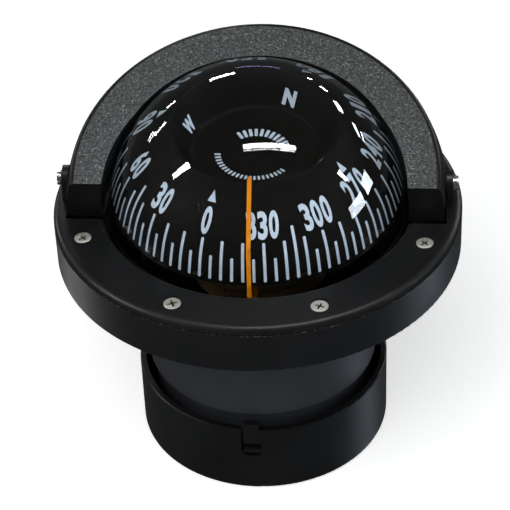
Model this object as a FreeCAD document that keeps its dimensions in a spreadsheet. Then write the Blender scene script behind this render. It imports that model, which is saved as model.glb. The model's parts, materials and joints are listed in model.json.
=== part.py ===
"""Flush binnacle compass with a liquid-filled dome, a gimballed card, a swinging hood
and a sliding clamp sleeve.

Frame: origin at the centre of the foot, +Z up, -Y towards the helmsman, millimetres.
The driving dimensions live in the spreadsheet "Sizes". Every sub-part is bound to them.
"""
import FreeCAD
import Part
import Sketcher

import math
import os
import re

SIZES = {
    # flange and bezel
    "flange_radius": 65.0,
    "flange_foot": 71.8,
    "web_top": 74.2,
    "lip_radius": 62.2,
    "parting_height": 86.2,
    "parting_gap": 0.35,
    "bezel_floor": 79.4,
    "bezel_top": 88.5,
    "bezel_bore": 49.5,
    "crest_round": 2.2,
    "lip_round": 1.5,
    "screw_circle": 57.5,
    "screw_count": 8,
    "screw_shank": 1.5,
    "screw_head": 2.8,
    "screw_sink": 0.3,
    "screw_length": 13.8,
    "screw_pocket": 3.15,
    "gasket_outer": 61.0,
    "gasket_inner": 55.0,
    "gasket_depth": 0.8,
    # clear dome and its stack of seals
    "dome_centre": 85.0,
    "dome_radius": 47.3,
    "dome_wall": 3.0,
    "dome_flange": 52.0,
    "bowl_flange_low": 74.3,
    "bowl_flange_top": 76.1,
    "dome_flange_low": 76.6,
    "dome_flange_top": 78.8,
    "seal_inner": 46.0,
    "seal_outer": 50.0,
    # hood and its pivots
    "pivot_height": 95.0,
    "hood_outer": 61.1,
    "hood_inner": 48.8,
    "hood_plane": 19.6,
    "hood_tilt": 21.4,
    "hood_skirt": 28.0,
    "hood_wall": 2.4,
    "hood_front": 11.8,
    "hood_foot": 88.9,
    "hood_side": 59.2,
    "swing_room": 0.8,
    "swing_limit": 90.0,
    "edge_round": 2.0,
    "pocket_radius": 14.3,
    "ear_inner": 59.85,
    "ear_outer": 61.8,
    "ear_round": 4.2,
    "pivot_shank": 1.5,
    "pivot_bore": 1.54,
    "pivot_head": 2.3,
    # body tube and clamp sleeve
    "tube_radius": 37.75,
    "tube_bore": 36.3,
    "neck_radius": 36.0,
    "neck_bore": 34.0,
    "neck_top": 29.0,
    "tube_foot": 3.0,
    "shelf_height": 43.0,
    "lamp_place": 25.0,
    "filler_place": 25.0,
    "bolt_circle": 18.0,
    "mouth_radius": 38.5,
    "sleeve_radius": 41.4,
    "sleeve_bore": 39.4,
    "sleeve_guide": 36.06,
    "sleeve_foot": 0.5,
    "sleeve_rim": 25.7,
    "guide_top": 8.0,
    "cover_radius": 38.4,
    "cover_top": 2.6,
    "spigot_top": 8.0,
    "boss_circle": 31.5,
    "boss_radius": 3.2,
    "bush_place": 21.0,
    "latch_width": 5.0,
    "latch_rise": 2.6,
    "latch_place": -1.4,
    # gimbal, cradle and card, about the dome's centre
    "pin_radius": 0.9,
    "pin_bore": 0.94,
    "ring_inner": 22.6,
    "ring_outer": 25.2,
    "ring_half": 1.7,
    "post_inner": 25.8,
    "post_outer": 27.5,
    "post_foot": 50.0,
    "post_rise": 2.0,
    "card_rim": 36.4,
    "card_rim_drop": 0.6,
    "card_bend": 34.5,
    "card_bend_rise": 11.0,
    "card_edge": 22.8,
    "card_edge_rise": 24.6,
    "card_edge_flat": 0.6,
    "card_foot": 15.6,
    "card_foot_rise": 15.8,
    "card_dish_rise": 15.2,
    "float_radius": 20.0,
    "float_rise": 19.0,
    "card_skin": 1.1,
    "card_round": 24.0,
    "card_foot_round": 1.5,
    "pivot_tip_rise": 9.0,
    "lubber_width": 1.2,
    "lubber_clear": 0.85,
    "lubber_half": 0.25,
    "lubber_tip": 21.3,
    # compensator
    "spindle_shaft": 2.0,
    "spindle_drum": 3.4,
    "spindle_head": 3.5,
    "spindle_gap": 0.04,
    "spindle_height": 34.0,
    "ns_offset": -9.0,
    "ns_recess": 2.4,
    "ew_offset": -3.0,
    "ew_recess": 0.9,
    "block_half": 16.0,
}

BOSS_COUNT = 3
DIAPHRAGM_COUNT = 4
DIAPHRAGM_START = 45.0
SWING_STEPS = 6

doc = FreeCAD.newDocument("BinnacleCompass")
sheet = doc.addObject("Spreadsheet::Sheet", "Sizes")
nodes = []


def fill_sheet():
    """One row per driving dimension: its name in column A, its number in column B."""
    for row, (name, number) in enumerate(SIZES.items(), start=1):
        sheet.set("A%d" % row, name)
        sheet.set("B%d" % row, str(number))
        sheet.setAlias("B%d" % row, name)
    doc.recompute()


def bound(expression):
    """The expression with every named size pointed at the spreadsheet."""
    return re.sub(r"\b([a-z]+_[a-z_]+)\b", r"Sizes.\1", expression)


def number(expression):
    """The value of a sum or difference of named sizes and plain numbers."""
    total = 0.0
    sign = 1.0
    for word in expression.split():
        if word in "+-":
            sign = -1.0 if word == "-" else 1.0
        else:
            total += sign * (SIZES[word] if word in SIZES else float(word))
    return total


def keep(thing, label):
    """Name a finished sub-part: the label is its file's name."""
    thing.Label = label
    nodes.append(thing)
    return thing


def revolved(name, outline):
    """A body turned about Z from a closed outline of (radius, height) expressions."""
    body = doc.addObject("PartDesign::Body", name)
    sketch = body.newObject("Sketcher::SketchObject", name + "_outline")
    plane = [f for f in body.Origin.OriginFeatures if f.Role == "XZ_Plane"][0]
    sketch.AttachmentSupport = [(plane, "")]
    sketch.MapMode = "FlatFace"
    points = [FreeCAD.Vector(number(r), number(z), 0) for r, z in outline]
    count = len(points)
    for i in range(count):
        sketch.addGeometry(Part.LineSegment(points[i], points[(i + 1) % count]))
    for i in range(count):
        sketch.addConstraint(Sketcher.Constraint("Coincident", i, 2, (i + 1) % count, 1))
    for i, (radius, height) in enumerate(outline):
        for kind, axis, text in (("DistanceX", -2, radius), ("DistanceY", -1, height)):
            if text == "0":
                sketch.addConstraint(Sketcher.Constraint("PointOnObject", i, 1, axis))
                continue
            index = sketch.addConstraint(Sketcher.Constraint(kind, -1, 1, i, 1, number(text)))
            sketch.setExpression("Constraints[%d]" % index, bound(text))
    turn = body.newObject("PartDesign::Revolution", name + "_turn")
    turn.Profile = sketch
    turn.ReferenceAxis = (sketch, ["V_Axis"])
    turn.Angle = 360
    sketch.Visibility = False
    doc.recompute()
    return body


def rounded(body, radius, circles):
    """Round the circular edges given as (radius, height) expressions."""
    base = body.Tip
    wanted = [(number(r), number(z)) for r, z in circles]
    names = []
    for index, edge in enumerate(base.Shape.Edges, start=1):
        if not isinstance(edge.Curve, Part.Circle):
            continue
        here = (edge.Curve.Radius, edge.Curve.Center.z)
        if any(math.dist(here, place) < 0.01 for place in wanted):
            names.append("Edge%d" % index)
    fillet = body.newObject("PartDesign::Fillet", body.Name + "_round")
    fillet.Base = (base, names)
    fillet.setExpression("Radius", bound(radius))
    doc.recompute()
    return body


def put(thing, x="0", y="0", z="0"):
    """Bind a primitive's place."""
    for axis, text in (("x", x), ("y", y), ("z", z)):
        thing.setExpression("Placement.Base." + axis, bound(text))
    return thing


def turned(thing, axis, angle):
    thing.Placement.Rotation = FreeCAD.Rotation(FreeCAD.Vector(*axis), angle)
    return thing


def rod(name, radius, length, along="Z", x="0", y="0", z="0"):
    """A cylinder that starts at (x, y, z) and runs along +X, +Y or +Z."""
    thing = doc.addObject("Part::Cylinder", name)
    thing.setExpression("Radius", bound(radius))
    thing.setExpression("Height", bound(length))
    if along == "X":
        turned(thing, (0, 1, 0), 90)
    if along == "Y":
        turned(thing, (1, 0, 0), -90)
    return put(thing, x, y, z)


def block(name, size, x="0", y="0", z="0"):
    """A box of size (length, width, height) with its lowest corner at (x, y, z)."""
    thing = doc.addObject("Part::Box", name)
    for side, text in zip(("Length", "Width", "Height"), size):
        thing.setExpression(side, bound(text))
    return put(thing, x, y, z)


def ball(name, radius, z, lowest=-90):
    thing = doc.addObject("Part::Sphere", name)
    thing.setExpression("Radius", bound(radius))
    thing.Angle1 = lowest
    return put(thing, z=z)


def joined(name, pieces):
    thing = doc.addObject("Part::MultiFuse", name)
    thing.Shapes = pieces
    return thing


def overlap(name, pieces):
    thing = doc.addObject("Part::MultiCommon", name)
    thing.Shapes = pieces
    return thing


def cut(name, base, tools):
    """Base with one or more tools taken away."""
    thing = doc.addObject("Part::Cut", name)
    thing.Base = base
    thing.Tool = tools[0] if len(tools) == 1 else joined(name + "_tools", tools)
    return thing


def around(name, piece, count, start=0.0):
    """Copies of one piece spaced evenly about Z, as separate solids."""
    copies = []
    for i in range(count):
        link = doc.addObject("Part::Compound", "%s_%d" % (name, i))
        link.Links = [piece]
        turned(link, (0, 0, 1), start + 360.0 * i / count)
        copies.append(link)
    group = doc.addObject("Part::Compound", name)
    group.Links = copies
    return group


def screw_angles():
    """The bezel screws sit half a step either side of the front."""
    step = 360.0 / SIZES["screw_count"]
    return [step * (i + 0.5) for i in range(int(SIZES["screw_count"]))]


def countersunk(name, shank, head, length):
    """A countersunk cross-head screw standing at the origin, its head's top at z = 0."""
    depth = "%s - %s" % (head, shank)
    cone = doc.addObject("Part::Cone", name + "_cone")
    cone.setExpression("Radius1", bound(shank))
    cone.setExpression("Radius2", bound(head))
    cone.setExpression("Height", bound(depth))
    put(cone, z="0 - (%s)" % depth)
    stem = rod(name + "_stem", shank, length, z="0 - (%s)" % length)
    solid = joined(name + "_solid", [cone, stem])
    slots = [block(name + "_slot_a", ("2 * 1.6", "0.8", "2"), "0 - 1.6", "0 - 0.4", "0 - 0.9"),
             block(name + "_slot_b", ("0.8", "2 * 1.6", "2"), "0 - 0.4", "0 - 1.6", "0 - 0.9")]
    return cut(name, solid, slots)


def lifted(name, piece, x="0", y="0", z="0"):
    """A copy of a piece moved bodily to (x, y, z)."""
    link = doc.addObject("Part::Compound", name)
    link.Links = [piece]
    return put(link, x, y, z)


def make_flange():
    """Lower flange: a skirt round a flat web that carries the bowl, with a screw upstand."""
    ring = revolved("flange_blank", [
        ("tube_radius + 0.05", "flange_foot"),
        ("flange_radius", "flange_foot"),
        ("flange_radius", "parting_height - parting_gap"),
        ("lip_radius + 0.1", "parting_height - parting_gap"),
        ("lip_radius + 0.1", "bezel_floor - 0.1"),
        ("dome_flange + 1", "bezel_floor - 0.1"),
        ("dome_flange + 1", "web_top"),
        ("tube_radius + 0.05", "web_top"),
    ])
    rounded(ring, "0.9", [("flange_radius", "flange_foot")])
    groove = cut("gasket_groove", rod("groove_out", "gasket_outer", "gasket_depth", z="flange_foot"),
                 [rod("groove_in", "gasket_inner", "gasket_depth", z="flange_foot")])
    hole = rod("flange_hole", "screw_shank", "20", y="screw_circle", z="web_top")
    holes = around("flange_holes", hole, int(SIZES["screw_count"]), screw_angles()[0])
    keep(cut("flange_cut", ring, [groove, holes]), "flange_ring")
    keep(cut("panel_gasket_cut", rod("gasket_out", "gasket_outer", "gasket_depth", z="flange_foot"),
             [rod("gasket_in", "gasket_inner", "gasket_depth", z="flange_foot")]), "panel_gasket")


def make_bezel():
    """Top ring: round crest and lip, eight sunk screws, two hood pockets and two ears."""
    ring = revolved("bezel_blank", [
        ("bezel_bore", "bezel_floor"),
        ("lip_radius", "bezel_floor"),
        ("lip_radius", "parting_height"),
        ("flange_radius", "parting_height"),
        ("flange_radius", "bezel_top"),
        ("bezel_bore", "bezel_top"),
    ])
    rounded(ring, "crest_round", [("flange_radius", "bezel_top")])
    rounded(ring, "lip_round", [("bezel_bore", "bezel_top")])
    ears = []
    pockets = []
    bores = []
    for side, sign in (("left", "0 - "), ("right", "")):
        low_ear = "0 - ear_outer" if sign else "ear_inner"
        low_pocket = "0 - ear_inner" if sign else "ear_inner - 16"
        ears.append(rod(side + "_ear_top", "ear_round", "ear_outer - ear_inner", "X",
                        x=low_ear, z="pivot_height"))
        ears.append(block(side + "_ear_web",
                          ("ear_outer - ear_inner", "2 * ear_round", "pivot_height - bezel_top + 2"),
                          low_ear, "0 - ear_round", "bezel_top - 2"))
        pockets.append(rod(side + "_pocket", "pocket_radius", "16", "X",
                           x=low_pocket, z="pivot_height"))
        bores.append(rod(side + "_ear_bore", "pivot_shank", "6", "X",
                         x="0 - 64" if sign else "58", z="pivot_height"))
    body = joined("bezel_with_ears", [cut("bezel_pocketed", ring, pockets)] + ears)
    count = int(SIZES["screw_count"])
    pocket = rod("screw_pocket_cut", "screw_pocket", "4", y="screw_circle", z="bezel_top - screw_sink")
    sink = doc.addObject("Part::Cone", "screw_sink_cut")
    sink.setExpression("Radius1", bound("screw_shank"))
    sink.setExpression("Radius2", bound("screw_head"))
    sink.setExpression("Height", bound("screw_head - screw_shank"))
    put(sink, y="screw_circle", z="bezel_top - screw_sink - screw_head + screw_shank")
    hole = rod("screw_hole_cut", "screw_shank + 0.15", "14", y="screw_circle", z="bezel_floor - 1")
    tools = [around("screw_pockets", pocket, count, screw_angles()[0]),
             around("screw_sinks", sink, count, screw_angles()[0]),
             around("screw_holes", hole, count, screw_angles()[0])]
    keep(cut("bezel_cut", body, tools + bores), "bezel_ring")
    screw = countersunk("bezel_screw", "screw_shank", "screw_head", "screw_length")
    placed = lifted("bezel_screw_placed", screw, y="screw_circle", z="bezel_top - screw_sink")
    keep(around("bezel_screw_set", placed, count, screw_angles()[0]), "bezel_screws")


def make_dome():
    """Clear dome: half a sphere on a short neck with a clamped foot flange, and its seals."""
    outer = joined("dome_outer", [
        ball("dome_ball", "dome_radius", "dome_centre", lowest=0),
        rod("dome_neck", "dome_radius", "dome_centre - dome_flange_low", z="dome_flange_low"),
        rod("dome_foot", "dome_flange", "dome_flange_top - dome_flange_low", z="dome_flange_low"),
    ])
    inner = [
        ball("dome_hollow", "dome_radius - dome_wall", "dome_centre", lowest=0),
        rod("dome_throat", "dome_radius - dome_wall", "dome_centre - dome_flange_low + 1",
            z="dome_flange_low - 1"),
    ]
    keep(cut("dome_cut", outer, inner), "dome")
    keep(revolved("dome_gasket_turned", [
        ("bezel_bore + 0.4", "dome_flange_top"),
        ("dome_flange", "dome_flange_top"),
        ("dome_flange", "bezel_floor"),
        ("bezel_bore + 0.4", "bezel_floor"),
    ]), "dome_gasket")
    keep(revolved("dome_seal_turned", [
        ("seal_inner", "bowl_flange_top"),
        ("seal_outer", "bowl_flange_top"),
        ("seal_outer", "dome_flange_low"),
        ("seal_inner", "dome_flange_low"),
    ]), "dome_seal")


def swing_clearance():
    """The dome, a little oversize, as the hood sees it at steps of its swing."""
    core = joined("dome_envelope", [
        ball("envelope_ball", "dome_radius + swing_room", "dome_centre"),
        rod("envelope_neck", "dome_radius + swing_room", "12", z="dome_centre - 12"),
    ])
    axis = FreeCAD.Vector(0, 0, SIZES["pivot_height"])
    turned_back = []
    for i in range(1, SWING_STEPS + 1):
        link = doc.addObject("Part::Compound", "dome_envelope_%d" % i)
        link.Links = [core]
        back = FreeCAD.Rotation(FreeCAD.Vector(1, 0, 0), -SIZES["swing_limit"] * i / SWING_STEPS)
        link.Placement = FreeCAD.Placement(FreeCAD.Vector(), back, axis)
        turned_back.append(link)
    return turned_back


def make_hood():
    """Hood: a tilted band of thick shell, flat on top and at its sides, hollow underneath."""
    blank = revolved("hood_blank", [
        ("0", "0 - hood_skirt"),
        ("hood_outer + 4", "0 - hood_skirt"),
        ("hood_outer + 4", "hood_plane"),
        ("0", "hood_plane"),
    ])
    centre = FreeCAD.Placement(FreeCAD.Vector(0, 0, SIZES["dome_centre"]),
                               FreeCAD.Rotation(FreeCAD.Vector(1, 0, 0), SIZES["hood_tilt"]))
    blank.Placement = centre
    blank.setExpression("Placement.Base.z", bound("dome_centre"))
    shell = cut("hood_shell", overlap("hood_disc", [blank, ball("hood_ball", "hood_outer", "dome_centre")]),
                [ball("hood_hollow", "hood_inner", "dome_centre")])
    room = "2 * hood_outer"
    tools = [
        block("below_hood", (room, room, "hood_outer + 10"),
              "0 - hood_outer", "0 - hood_outer", "hood_foot - hood_outer - 10"),
        block("before_hood", (room, "hood_outer", room),
              "0 - hood_outer", "0 - hood_outer - hood_front", "dome_centre - hood_outer"),
        block("right_of_hood", ("8", room, room),
              "hood_side", "0 - hood_outer", "dome_centre - hood_outer"),
        block("left_of_hood", ("8", room, room),
              "0 - hood_side - 8", "0 - hood_outer", "dome_centre - hood_outer"),
        rod("hood_bore_left", "pivot_bore", "7", "X", x="0 - hood_side - 1", z="pivot_height"),
        rod("hood_bore_right", "pivot_bore", "7", "X", x="hood_side - 6", z="pivot_height"),
    ]
    body = cut("hood_trimmed", shell, tools + swing_clearance())
    cavity_blank = revolved("hood_cavity_blank", [
        ("0", "0 - hood_skirt - 4"),
        ("hood_outer + 4", "0 - hood_skirt - 4"),
        ("hood_outer + 4", "hood_plane - hood_wall"),
        ("0", "hood_plane - hood_wall"),
    ])
    cavity_blank.Placement = centre
    cavity_blank.setExpression("Placement.Base.z", bound("dome_centre"))
    behind = block("behind_pivots", (room, "hood_outer", room),
                   "0 - hood_outer", "pocket_radius + 3", "dome_centre - hood_outer")
    inside = overlap("hood_inside", [
        cavity_blank, ball("cavity_ball", "hood_outer - hood_wall", "dome_centre"), behind,
        block("within_sides", ("2 * hood_side - 2 * hood_wall", room, room),
              "0 - hood_side + hood_wall", "0 - hood_outer", "dome_centre - hood_outer"),
    ])
    cavity = cut("hood_cavity", inside, [ball("cavity_core", "hood_inner + hood_wall", "dome_centre")])
    hollow = cut("hood_hollow_cut", body, [cavity])
    doc.recompute()
    edges = []
    tilt = math.radians(SIZES["hood_tilt"])
    normal = FreeCAD.Vector(0, -math.sin(tilt), math.cos(tilt))
    middle = FreeCAD.Vector(0, 0, SIZES["dome_centre"]) + normal * SIZES["hood_plane"]
    rim = math.sqrt(SIZES["hood_outer"] ** 2 - SIZES["hood_plane"] ** 2)
    for index, edge in enumerate(hollow.Shape.Edges, start=1):
        circle = edge.Curve
        if isinstance(circle, Part.Circle) and abs(circle.Radius - rim) < 0.01:
            if (circle.Center - middle).Length < 0.01:
                edges.append((index, SIZES["edge_round"], SIZES["edge_round"]))
    smooth = doc.addObject("Part::Fillet", "hood_smooth")
    smooth.Base = hollow
    smooth.Edges = edges
    keep(smooth, "visor_hood")
    screws = []
    washers = []
    for side, left in (("left", True), ("right", False)):
        shank = rod(side + "_pivot_shank", "pivot_shank", "ear_outer - hood_side + 5", "X",
                    x="0 - ear_outer" if left else "hood_side - 5", z="pivot_height")
        head = rod(side + "_pivot_head", "pivot_head", "1.7", "X",
                   x="0 - ear_outer - 1.7" if left else "ear_outer", z="pivot_height")
        slot = block(side + "_pivot_slot", ("1.2", "6", "0.8"),
                     "0 - ear_outer - 2" if left else "ear_outer + 0.8", "0 - 3", "pivot_height - 0.4")
        screws.append(cut(side + "_pivot_screw", joined(side + "_pivot_solid", [shank, head]), [slot]))
        disc = rod(side + "_washer_disc", "3.6", "ear_inner - hood_side - 0.1", "X",
                   x="0 - ear_inner" if left else "hood_side + 0.1", z="pivot_height")
        hole = rod(side + "_washer_hole", "pivot_shank", "ear_inner - hood_side", "X",
                   x="0 - ear_inner" if left else "hood_side", z="pivot_height")
        washers.append(cut(side + "_washer", disc, [hole]))
    for label, pair in (("visor_screws", screws), ("visor_washers", washers)):
        group = doc.addObject("Part::Compound", label + "_pair")
        group.Links = pair
        keep(group, label)


def make_tube():
    """Body tube: wide bowl above a shoulder, narrow neck below, with boss columns inside."""
    tube = revolved("tube_turned", [
        ("neck_bore", "tube_foot"),
        ("neck_radius", "tube_foot"),
        ("neck_radius", "neck_top"),
        ("tube_radius", "neck_top"),
        ("tube_radius", "bowl_flange_low"),
        ("dome_flange", "bowl_flange_low"),
        ("dome_flange", "bowl_flange_top"),
        ("mouth_radius", "bowl_flange_top"),
        ("tube_bore", "bowl_flange_top - 2.2"),
        ("tube_bore", "shelf_height"),
        ("neck_bore", "shelf_height"),
    ])
    rounded(tube, "0.8", [("tube_radius", "neck_top")])
    boss = rod("cover_boss", "boss_radius", "16", y="boss_circle", z="tube_foot + 6")
    bosses = around("cover_bosses", boss, BOSS_COUNT)
    pilot = rod("cover_pilot", "screw_shank", "14", y="boss_circle", z="tube_foot + 5")
    tools = [
        around("cover_pilots", pilot, BOSS_COUNT),
        rod("ns_head_hole", "spindle_head + spindle_gap", "10", "Y",
            x="ns_offset", y="tube_radius - 7", z="spindle_height"),
        rod("ew_head_hole", "spindle_head + spindle_gap", "10", "X",
            x="tube_radius - 7", y="ew_offset", z="spindle_height"),
    ]
    keep(cut("tube_cut", joined("tube_with_bosses", [tube, bosses]), tools), "body_tube")


def make_sleeve():
    """Clamp sleeve: open cup on a narrow guide, with a snap latch at the front of its rim."""
    cup = revolved("sleeve_turned", [
        ("cover_radius + 0.3", "sleeve_foot"),
        ("sleeve_radius", "sleeve_foot"),
        ("sleeve_radius", "sleeve_rim"),
        ("sleeve_bore", "sleeve_rim"),
        ("sleeve_bore", "guide_top"),
        ("sleeve_guide", "guide_top"),
        ("sleeve_guide", "tube_foot + 0.2"),
        ("cover_radius + 0.3", "tube_foot + 0.2"),
    ])
    rounded(cup, "0.7", [("sleeve_radius", "sleeve_foot")])
    rounded(cup, "0.5", [("sleeve_radius", "sleeve_rim")])
    arc = cut("latch_arc", rod("latch_out", "sleeve_radius", "latch_rise + 1", z="sleeve_rim - 1"),
              [rod("latch_in", "sleeve_bore", "latch_rise + 1", z="sleeve_rim - 1")])
    slab = block("latch_slab", ("latch_width", "20", "latch_rise + 1"),
                 "latch_place - latch_width / 2", "0 - 50", "sleeve_rim - 1")
    tab = overlap("latch_tab", [arc, slab])
    edge = "latch_place - latch_width / 2"
    tools = [
        block("latch_slit", ("0.8", "8", "12"), edge + " - 0.8", "0 - 44", "sleeve_rim - 9.4"),
        block("latch_window", ("latch_width + 0.6", "8", "2.1"), edge, "0 - 44", "sleeve_rim - 7.9"),
        block("latch_lower_window", ("latch_width + 0.3", "8", "1.3"), edge, "0 - 44",
              "sleeve_rim - 10.9"),
    ]
    keep(cut("sleeve_cut", joined("sleeve_with_tab", [cup, tab]), tools), "clamp_sleeve")


def make_gimbal():
    """Two posts in the bowl carry the gimbal ring on X; the ring carries the cradle on Y."""
    base = cut("support_base", rod("support_disc", "tube_bore", "2.5", z="post_foot"),
               [rod("support_hole", "post_inner - 2", "2.5", z="post_foot")])
    height = "dome_centre - post_foot + post_rise"
    posts = []
    for side, place in (("left", "0 - post_outer"), ("right", "post_inner")):
        posts.append(block(side + "_post", ("post_outer - post_inner", "6", height),
                           place, "0 - 3", "post_foot"))
    bore = rod("post_bores", "pin_bore", "2 * post_outer + 2", "X",
               x="0 - post_outer - 1", z="dome_centre")
    keep(cut("support_cut", joined("support_solid", [base] + posts), [bore]), "gimbal_support")
    ring = revolved("gimbal_ring_turned", [
        ("ring_inner", "dome_centre - ring_half"),
        ("ring_outer", "dome_centre - ring_half"),
        ("ring_outer", "dome_centre + ring_half"),
        ("ring_inner", "dome_centre + ring_half"),
    ])
    bores = [rod("ring_bore_x", "pin_radius", "2 * ring_outer + 2", "X",
                 x="0 - ring_outer - 1", z="dome_centre"),
             rod("ring_bore_y", "pin_radius", "2 * ring_outer + 2", "Y",
                 y="0 - ring_outer - 1", z="dome_centre")]
    keep(cut("gimbal_ring_cut", ring, bores), "gimbal_ring")
    pins = [
        rod("pin_right", "pin_radius", "post_outer - ring_inner - 0.6", "X",
            x="ring_inner + 0.4", z="dome_centre"),
        rod("pin_left", "pin_radius", "post_outer - ring_inner - 0.6", "X",
            x="0 - post_outer + 0.2", z="dome_centre"),
        rod("pin_rear", "pin_radius", "6", "Y", y="ring_outer - 6.2", z="dome_centre"),
        rod("pin_front", "pin_radius", "6", "Y", y="0 - ring_outer + 0.2", z="dome_centre"),
    ]
    group = doc.addObject("Part::Compound", "gimbal_pin_set")
    group.Links = pins
    keep(group, "gimbal_pins")


def make_cradle():
    """Cradle: a bar on the ring's inner pins, a stem with a weight, the pivot and the lubber."""
    bar = block("cradle_bar", ("5", "2 * ring_inner - 1.4", "4"),
                "0 - 2.5", "0 - ring_inner + 0.7", "dome_centre - 2")
    hub = rod("cradle_hub", "5", "7", z="dome_centre - 5")
    stem = rod("cradle_stem", "2", "14", z="dome_centre - 18")
    bores = [rod("cradle_bore_rear", "pin_bore", "8", "Y", y="ring_outer - 7", z="dome_centre"),
             rod("cradle_bore_front", "pin_bore", "8", "Y", y="0 - ring_outer - 1", z="dome_centre"),
             rod("cradle_post_bore", "1.2", "6", z="dome_centre - 3")]
    keep(cut("cradle_cut", joined("cradle_solid", [bar, hub, stem]), bores), "cradle_frame")
    keep(revolved("counterweight_turned", [
        ("2", "dome_centre - 20"),
        ("11.5", "dome_centre - 20"),
        ("13.5", "dome_centre - 18"),
        ("13.5", "dome_centre - 15.4"),
        ("2", "dome_centre - 15.4"),
    ]), "counterweight")
    post = revolved("pivot_post_turned", [
        ("0", "dome_centre - 3"),
        ("1.2", "dome_centre - 3"),
        ("1.2", "dome_centre + 6"),
        ("0.5", "dome_centre + pivot_tip_rise - 1.6"),
        ("0", "dome_centre + pivot_tip_rise - 1.6"),
    ])
    keep(post, "pivot_post")
    keep(revolved("pivot_pin_turned", [
        ("0", "dome_centre + pivot_tip_rise - 1.6"),
        ("0.5", "dome_centre + pivot_tip_rise - 1.6"),
        ("0.5", "dome_centre + pivot_tip_rise - 0.5"),
        ("0", "dome_centre + pivot_tip_rise"),
    ]), "pivot_pin")
    make_lubber()


def make_lubber():
    """Lubber line: a thin strip that leaves the stem, rises before the card and bends over it."""
    base = SIZES["dome_centre"]
    clear = SIZES["lubber_clear"]
    rim = (SIZES["card_rim"], base - SIZES["card_rim_drop"])
    bend = (SIZES["card_bend"], base + SIZES["card_bend_rise"])
    top = base + SIZES["card_edge_rise"] + clear
    lean = math.atan2(rim[0] - bend[0], bend[1] - rim[1])
    out, rise = clear * math.cos(lean), clear * math.sin(lean)
    route = [(-2.45, base - 14.6), (-28.0, base - 14.0), (-33.5, base - 11.5),
             (0.3 - rim[0] - out, rim[1] - 3.4), (-rim[0] - out, rim[1] + rise),
             (-bend[0] - clear, bend[1] + 0.4), (-SIZES["card_edge"] - 0.4, top),
             (-SIZES["lubber_tip"], top + 0.2)]
    half = SIZES["lubber_width"] / 2
    centre = [FreeCAD.Vector(-half, y, z) for y, z in route]
    outline = Part.Wire(Part.makePolygon(centre))
    strip = outline.makeOffset2D(SIZES["lubber_half"], join=2, openResult=False, fill=False)
    face = Part.Face(strip)
    shape = face.extrude(FreeCAD.Vector(SIZES["lubber_width"], 0, 0))
    thing = doc.addObject("Part::Feature", "lubber_strip")
    thing.Shape = shape
    keep(thing, "lubber_line")


def make_card():
    """Card: conical scale skin with a steep-walled dish, a float, two magnets and the jewel cup."""
    blank = revolved("card_turned", [
        ("card_rim - card_skin", "dome_centre - card_rim_drop"),
        ("card_rim", "dome_centre - card_rim_drop"),
        ("card_bend", "dome_centre + card_bend_rise"),
        ("card_edge", "dome_centre + card_edge_rise"),
        ("card_edge - card_edge_flat", "dome_centre + card_edge_rise"),
        ("card_foot", "dome_centre + card_foot_rise"),
        ("0", "dome_centre + card_dish_rise"),
        ("0", "dome_centre + card_dish_rise - card_skin"),
        ("card_foot + 0.6", "dome_centre + card_foot_rise - card_skin"),
        ("card_edge - 0.2", "dome_centre + card_edge_rise - card_skin - 0.3"),
        ("card_bend - card_skin", "dome_centre + card_bend_rise - 0.3"),
    ])
    rounded(blank, "card_round", [("card_bend", "dome_centre + card_bend_rise")])
    rounded(blank, "card_round - 1", [("card_bend - card_skin", "dome_centre + card_bend_rise - 0.3")])
    rounded(blank, "card_foot_round", [("card_foot", "dome_centre + card_foot_rise")])
    keep(blank, "card_dial")
    keep(revolved("float_turned", [
        ("4", "dome_centre + pivot_tip_rise + 2"),
        ("float_radius - 3", "dome_centre + pivot_tip_rise + 2"),
        ("float_radius", "dome_centre + pivot_tip_rise + 5"),
        ("float_radius", "dome_centre + float_rise"),
        ("card_foot + 0.6", "dome_centre + card_foot_rise - card_skin - 0.4"),
        ("4", "dome_centre + card_dish_rise - card_skin - 0.1"),
    ]), "card_float")
    bars = []
    for side, place in (("left", "0 - 8.5"), ("right", "6")):
        bars.append(block(side + "_magnet", ("2.5", "22", "3"), place, "0 - 11",
                          "dome_centre + pivot_tip_rise - 1"))
    group = doc.addObject("Part::Compound", "card_magnet_pair")
    group.Links = bars
    keep(group, "card_magnets")
    keep(revolved("jewel_turned", [
        ("1.8", "dome_centre + pivot_tip_rise - 1.4"),
        ("4", "dome_centre + pivot_tip_rise - 1.4"),
        ("4", "dome_centre + card_dish_rise - card_skin + 0.1"),
        ("0", "dome_centre + card_dish_rise - card_skin"),
        ("0", "dome_centre + pivot_tip_rise + 0.05"),
    ]), "jewel_cup")


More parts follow.
